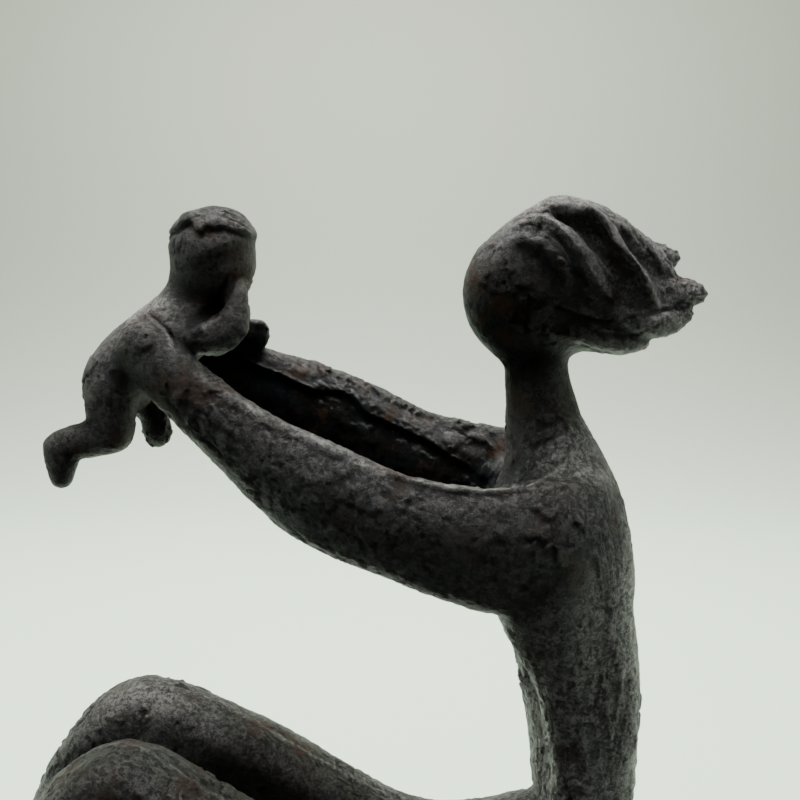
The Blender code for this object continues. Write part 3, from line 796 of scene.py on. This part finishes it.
def patina_group():
    """Old dark patina with painted light and shade: colour, roughness, metal, grain height, by place and how
    far it stands out.
    """
    tree = bpy.data.node_groups.new("old_patina", "ShaderNodeTree")
    group_socket(tree, "Crest", "INPUT", "NodeSocketFloat", 0.5)
    group_socket(tree, "Broad crest", "INPUT", "NodeSocketFloat", 0.5)
    group_socket(tree, "Upward", "INPUT", "NodeSocketFloat", 0.5)
    group_socket(tree, "Painted light and wear", "INPUT", "NodeSocketFloat", 0.0)
    group_socket(tree, "Base", "INPUT", "NodeSocketColor", (0.0052, 0.0047, 0.0040, 1))
    group_socket(tree, "Rubbed", "INPUT", "NodeSocketColor", (0.078, 0.072, 0.062, 1))
    group_socket(tree, "Dust and top light", "INPUT", "NodeSocketColor", (0.165, 0.160, 0.144, 1))
    group_socket(tree, "Pale light and wear", "INPUT", "NodeSocketColor", (0.42, 0.412, 0.380, 1))
    group_socket(tree, "Rust", "INPUT", "NodeSocketColor", (0.052, 0.027, 0.015, 1))
    group_socket(tree, "Verdigris", "INPUT", "NodeSocketColor", (0.0055, 0.0095, 0.0095, 1))
    group_socket(tree, "Rust amount", "INPUT", "NodeSocketFloat", 0.5)
    group_socket(tree, "Colour", "OUTPUT", "NodeSocketColor")
    group_socket(tree, "Roughness", "OUTPUT", "NodeSocketFloat")
    group_socket(tree, "Metal in painted shade", "OUTPUT", "NodeSocketFloat")
    group_socket(tree, "Height", "OUTPUT", "NodeSocketFloat")
    enter = tree.nodes.new("NodeGroupInput")
    leave = tree.nodes.new("NodeGroupOutput")
    place_node = tree.nodes.new("ShaderNodeTexCoord")
    link = tree.links.new

    def noise(scale, detail, rough):
        made = node(tree, "ShaderNodeTexNoise")
        made.inputs["Scale"].default_value = scale
        made.inputs["Detail"].default_value = detail
        made.inputs["Roughness"].default_value = rough
        link(place_node.outputs["Object"], made.inputs["Vector"])
        return made.outputs["Fac"]

    def band(value, low, high, top=1.0):
        made = node(tree, "ShaderNodeMapRange", interpolation_type="SMOOTHSTEP")
        made.inputs["From Min"].default_value = low
        made.inputs["From Max"].default_value = high
        made.inputs["To Max"].default_value = top
        link(value, made.inputs["Value"])
        return made.outputs["Result"]

    def reckoned(operation, first, second):
        made = node(tree, "ShaderNodeMath", operation=operation)
        for socket, value in zip(made.inputs, (first, second)):
            if isinstance(value, (int, float)):
                socket.default_value = value
            else:
                link(value, socket)
        return made.outputs[0]

    def product(first, second):
        return reckoned("MULTIPLY", first, second)

    def add(first, second):
        return reckoned("ADD", first, second)

    def blend(amount, under, over):
        made = node(tree, "ShaderNodeMix", data_type="RGBA")
        link(amount, made.inputs[0])
        link(under, made.inputs[6])
        link(over, made.inputs[7])
        return made.outputs[2]

    grain = noise(GRAIN_SCALE, 5, 0.75)
    speckle = noise(SPECKLE_SCALE, 6, 0.8)
    mottle = noise(MOTTLE_SCALE, 5, 0.7)
    patches = noise(PATCH_SCALE, 5, 0.65)
    cool_patches = noise(COOL_SCALE, 3, 0.55)
    flecks = band(speckle, 0.46, 0.55)
    plates = band(noise(PLATE_SCALE, 5, 0.78), 0.45, 0.52)
    cloud = band(mottle, 0.40, 0.62)
    raised = add(product(enter.outputs["Crest"], 0.5), add(product(flecks, 0.30), product(grain, 0.30)))
    crest_mask = product(band(raised, 0.38, 0.78), add(0.12, product(plates, 0.95)))
    broad = band(enter.outputs["Broad crest"], 0.35, 0.85)
    sky = band(enter.outputs["Upward"], 0.05, 0.95)
    rust_mask = product(band(patches, 0.54, 0.64), product(enter.outputs["Rust amount"], add(0.35, flecks)))
    cool_mask = product(band(cool_patches, 0.46, 0.64), 0.85)
    # Values above 0 paint light and rubbed wear as paler patina; below 0 paint shade, which takes away dust
    # and rubbed edges
    paler = band(enter.outputs["Painted light and wear"], 0.0, 1.0)
    outside_painted_shade = band(enter.outputs["Painted light and wear"], -1.0, 0.0)
    dust_and_light_patches = product(add(product(crest_mask, 0.50), product(cloud, 0.25)), add(0.55, product(flecks, 0.45)))
    painted_light_and_wear = product(paler, add(0.24, add(product(crest_mask, 0.60), product(flecks, 0.30))))
    # Faces turned up get dust and painted light from above, in patches
    dust_and_top_light = product(product(sky, dust_and_light_patches), outside_painted_shade)
    rubbed = product(product(add(product(broad, 0.6), 0.4), crest_mask), outside_painted_shade)
    colour = blend(cool_mask, enter.outputs["Base"], enter.outputs["Verdigris"])
    colour = blend(product(rubbed, 0.85), colour, enter.outputs["Rubbed"])
    colour = blend(dust_and_top_light, colour, enter.outputs["Dust and top light"])
    # The pale colour of painted light and rubbed wear
    colour = blend(painted_light_and_wear, colour, enter.outputs["Pale light and wear"])
    colour = blend(rust_mask, colour, enter.outputs["Rust"])
    link(colour, leave.inputs["Colour"])
    smoothest, roughest = PATINA_ROUGHNESS
    dullness = product(band(add(grain, product(dust_and_top_light, 0.4)), 0.2, 1.2), roughest - smoothest)
    # Where shade is painted the patina turns metallic with its dark colour, which darkens it, and its rust
    # duller
    in_painted_shade = reckoned("SUBTRACT", 1.0, outside_painted_shade)
    dull_rust = product(product(in_painted_shade, rust_mask), RUST_DULLING_IN_PAINTED_SHADE)
    link(add(add(smoothest, dullness), dull_rust), leave.inputs["Roughness"])
    link(product(in_painted_shade, METAL_IN_PAINTED_SHADE), leave.inputs["Metal in painted shade"])
    cast = add(product(grain, 0.8), add(product(speckle, 1.6), product(mottle, 1.0)))
    link(add(cast, product(plates, 0.35)), leave.inputs["Height"])
    return tree


def bronze_material(name, group, rust):
    """Dark bronze with its patina."""
    material = bpy.data.materials.new(name)
    material.use_nodes = True
    tree = material.node_tree
    tree.nodes.clear()
    link = tree.links.new
    output = tree.nodes.new("ShaderNodeOutputMaterial")
    shader = tree.nodes.new("ShaderNodeBsdfPrincipled")
    shader.inputs["Specular IOR Level"].default_value = PATINA_SPECULAR
    patina = tree.nodes.new("ShaderNodeGroup")
    patina.node_tree = group
    patina.inputs["Rust amount"].default_value = rust
    geometry = tree.nodes.new("ShaderNodeNewGeometry")
    split = tree.nodes.new("ShaderNodeSeparateXYZ")
    link(geometry.outputs["Normal"], split.inputs[0])
    link(split.outputs["Z"], patina.inputs["Upward"])
    for attribute, socket in (("fine_crest", "Crest"), ("broad_crest", "Broad crest"), ("painted_light_and_wear", "Painted light and wear")):
        reader = tree.nodes.new("ShaderNodeAttribute")
        reader.attribute_name = attribute
        link(reader.outputs["Fac"], patina.inputs[socket])
    bump = tree.nodes.new("ShaderNodeBump")
    bump.inputs["Strength"].default_value = 1.0
    bump.inputs["Distance"].default_value = BUMP_HEIGHT
    link(patina.outputs["Height"], bump.inputs["Height"])
    link(patina.outputs["Colour"], shader.inputs["Base Color"])
    link(patina.outputs["Metal in painted shade"], shader.inputs["Metallic"])
    link(patina.outputs["Roughness"], shader.inputs["Roughness"])
    link(bump.outputs["Normal"], shader.inputs["Normal"])
    link(shader.outputs["BSDF"], output.inputs["Surface"])
    return material


def plinth_slab():
    """The plinth's slab with soft uneven edges and the same cast relief."""
    shape = bmesh.new()
    shape.from_mesh(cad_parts["plinth"].data)
    bmesh.ops.remove_doubles(shape, verts=shape.verts, dist=MERGE)
    mesh = bpy.data.meshes.new("plinth_form")
    shape.to_mesh(mesh)
    shape.free()
    form = bpy.data.objects.new("plinth_form", mesh)
    bpy.context.scene.collection.objects.link(form)
    skin = form.modifiers.new("skin", "REMESH")
    skin.mode = "VOXEL"
    skin.voxel_size = PLINTH_VOXEL
    fair = form.modifiers.new("fair", "SMOOTH")
    fair.factor = 0.5
    fair.iterations = 4
    made = evaluated_copy(form, "plinth_skin")
    discard(form)
    rows = positions(made.data)
    normals = vertex_normals(made.data)
    warp = np.stack([soft_noise(rows, 9 * MILLIMETRE, 190 + n) for n in range(3)], axis=1) * 1.5 * MILLIMETRE
    tilt, seam, _ = dabs(rows + warp, 8 * MILLIMETRE, 200)
    streaks = layered_noise(stretched(rows + warp, (1, 0.1, 0), 4.0), 2.6 * MILLIMETRE, 210)
    lifts = 0.20 * (tilt - 0.6 * seam) + 0.14 * streaks + 0.25 * layered_noise(rows, 26 * MILLIMETRE, 215)
    low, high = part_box("plinth")
    flat = smoothstep(0.2 * MILLIMETRE, 1.6 * MILLIMETRE, rows[:, 2] - low[2])
    rows += normals * ((lifts - 0.45) * MILLIMETRE * flat)[:, None]
    rows[:, 2] = np.clip(rows[:, 2], low[2], high[2])
    rows[:, 0] = np.clip(rows[:, 0], low[0], high[0])
    rows[:, 1] = np.clip(rows[:, 1], low[1], high[1])
    place(made.data, rows)
    thinner = made.modifiers.new("thinner", "DECIMATE")
    thinner.ratio = PLINTH_SHARE
    thin = evaluated_copy(made, "plinth_thin")
    discard(made)
    made = thin
    made.name = made.data.name = "bronze_plinth"
    for face in made.data.polygons:
        face.use_smooth = True
    mark_wear(made)
    return made


# Studio

def backdrop_paper():
    """Matt studio paper, palest on the floor, greyer with painted shade in the cove, pale again higher on the
    wall.
    """
    material = bpy.data.materials.new("pale_paper")
    material.use_nodes = True
    tree = material.node_tree
    shader = tree.nodes["Principled BSDF"]
    shader.inputs["Roughness"].default_value = 0.9
    shader.inputs["Specular IOR Level"].default_value = 0.1
    spot = tree.nodes.new("ShaderNodeTexCoord")
    split = tree.nodes.new("ShaderNodeSeparateXYZ")
    tree.links.new(spot.outputs["Object"], split.inputs[0])
    under = None
    for axis, low, high, colour in (("Y", 0.35, 1.5, PAPER_COVE_SHADE), ("Z", 0.25, 1.1, PAPER_WALL)):
        step = node(tree, "ShaderNodeMapRange", interpolation_type="SMOOTHSTEP")
        step.inputs["From Min"].default_value = low
        step.inputs["From Max"].default_value = high
        tree.links.new(split.outputs[axis], step.inputs["Value"])
        mix = node(tree, "ShaderNodeMix", data_type="RGBA")
        tree.links.new(step.outputs["Result"], mix.inputs[0])
        if under is None:
            mix.inputs[6].default_value = PAPER_FLOOR
        else:
            tree.links.new(under, mix.inputs[6])
        mix.inputs[7].default_value = colour
        under = mix.outputs[2]
    tree.links.new(under, shader.inputs["Base Color"])
    return material


def studio_sweep(paper):
    """A pale floor under and behind the bronze that curves up into the wall."""
    half, cove_start, cove_radius, wall_top, steps = 4.0, 0.75, 0.9, 4.0, 24
    shape = bmesh.new()
    line = [shape.verts.new((-half, FLOOR_JOINT, 0)), shape.verts.new((-half, cove_start, 0))]
    for n in range(1, steps + 1):
        turn = math.pi / 2 * n / steps
        line.append(
            shape.verts.new(
                (-half, cove_start + cove_radius * math.sin(turn), cove_radius * (1 - math.cos(turn)))
            )
        )
    line.append(shape.verts.new((-half, cove_start + cove_radius, wall_top)))
    edges = [shape.edges.new(pair) for pair in zip(line, line[1:])]
    pulled = bmesh.ops.extrude_edge_only(shape, edges=edges)
    bmesh.ops.translate(
        shape, verts=[v for v in pulled["geom"] if isinstance(v, bmesh.types.BMVert)], vec=(2 * half, 0, 0)
    )
    bmesh.ops.recalc_face_normals(shape, faces=shape.faces)
    for face in shape.faces:
        face.smooth = True
    stage_piece(shape, "studio_sweep", paper)


def front_floor(paper):
    """The floor on the camera's side. It throws no light back at the bronze, as a dark room's floor."""
    half = 4.0
    shape = bmesh.new()
    corners = [shape.verts.new(spot) for spot in
        ((-half, -half, 0), (half, -half, 0), (half, FLOOR_JOINT, 0), (-half, FLOOR_JOINT, 0))]
    shape.faces.new(corners)
    piece = stage_piece(shape, "front_floor", paper)
    piece.visible_diffuse = False
    piece.visible_glossy = False


def stage_piece(shape, name, paper):
    """A piece of the studio from a bmesh."""
    mesh = bpy.data.meshes.new(name)
    shape.to_mesh(mesh)
    shape.free()
    piece = bpy.data.objects.new(name, mesh)
    bpy.context.scene.collection.objects.link(piece)
    mesh.materials.append(paper)
    return piece


def soft_light(name, spot, target, size, power):
    """A square soft box aimed at a point."""
    lamp = bpy.data.lights.new(name, "AREA")
    lamp.shape = "SQUARE"
    lamp.size = size
    lamp.energy = power
    made = bpy.data.objects.new(name, lamp)
    made.location = spot
    made.rotation_euler = (Vector(target) - Vector(spot)).to_track_quat("-Z", "Y").to_euler()
    bpy.context.scene.collection.objects.link(made)


def room_light():
    """A bright room behind, beside and above the bronze, and a dark one in front.

    The camera sees plain grey beyond the backdrop.
    """
    world = bpy.data.worlds.new("room")
    world.use_nodes = True
    tree = world.node_tree
    tree.nodes.clear()
    link = tree.links.new
    way = tree.nodes.new("ShaderNodeTexCoord")
    split = tree.nodes.new("ShaderNodeSeparateXYZ")
    link(way.outputs["Generated"], split.inputs[0])

    def step(value, low, high, bottom, top):
        made = node(tree, "ShaderNodeMapRange", interpolation_type="SMOOTHSTEP")
        for name, number in (("From Min", low), ("From Max", high), ("To Min", bottom), ("To Max", top)):
            made.inputs[name].default_value = number
        link(value, made.inputs["Value"])
        return made.outputs["Result"]

    behind = step(split.outputs["Y"], -0.80, -0.05, ROOM_FRONT, ROOM_BACK)
    above = step(split.outputs["Z"], -0.30, 0.05, 0.12, 1.0)
    right = step(split.outputs["X"], -0.2, 1.0, 1.0, 1.7)
    strength = node(tree, "ShaderNodeMath", operation="MULTIPLY")
    link(behind, strength.inputs[0])
    link(above, strength.inputs[1])
    sided = node(tree, "ShaderNodeMath", operation="MULTIPLY")
    link(strength.outputs[0], sided.inputs[0])
    link(right, sided.inputs[1])
    room = tree.nodes.new("ShaderNodeBackground")
    room.inputs["Color"].default_value = (0.95, 1.0, 0.97, 1)
    link(sided.outputs[0], room.inputs["Strength"])
    plain = tree.nodes.new("ShaderNodeBackground")
    plain.inputs["Color"].default_value = (0.50, 0.52, 0.49, 1)
    path = tree.nodes.new("ShaderNodeLightPath")
    choice = tree.nodes.new("ShaderNodeMixShader")
    link(path.outputs["Is Camera Ray"], choice.inputs[0])
    link(room.outputs[0], choice.inputs[1])
    link(plain.outputs[0], choice.inputs[2])
    output = tree.nodes.new("ShaderNodeOutputWorld")
    link(choice.outputs[0], output.inputs["Surface"])
    bpy.context.scene.world = world


def studio():
    """Camera, backdrop and lights."""
    lens = bpy.data.cameras.new("view")
    lens.sensor_width = SENSOR_WIDTH
    lens.lens = FOCAL_POINTS / FRAME_POINTS * SENSOR_WIDTH
    lens.clip_start = 0.02
    lens.clip_end = 30
    camera = bpy.data.objects.new("view", lens)
    camera.location = EYE
    camera.rotation_euler = EYE_TURN
    bpy.context.scene.collection.objects.link(camera)
    bpy.context.scene.camera = camera
    paper = backdrop_paper()
    studio_sweep(paper)
    front_floor(paper)
    soft_light("top_box", BOX_PLACE, BOX_TARGET, BOX_SIZE, BOX_POWER)
    room_light()


def dress():
    """The visible pieces, each with its patina."""
    patina = patina_group()
    figure = figure_skin()
    figure.data.materials.append(bronze_material("dark_bronze", patina, FIGURE_RUST))
    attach(figure, "root")
    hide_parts("mother_and_child")
    slab = plinth_slab()
    slab.data.materials.append(bronze_material("plinth_bronze", patina, PLINTH_RUST))
    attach(slab, "root")
    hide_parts("plinth")


studio()
dress()
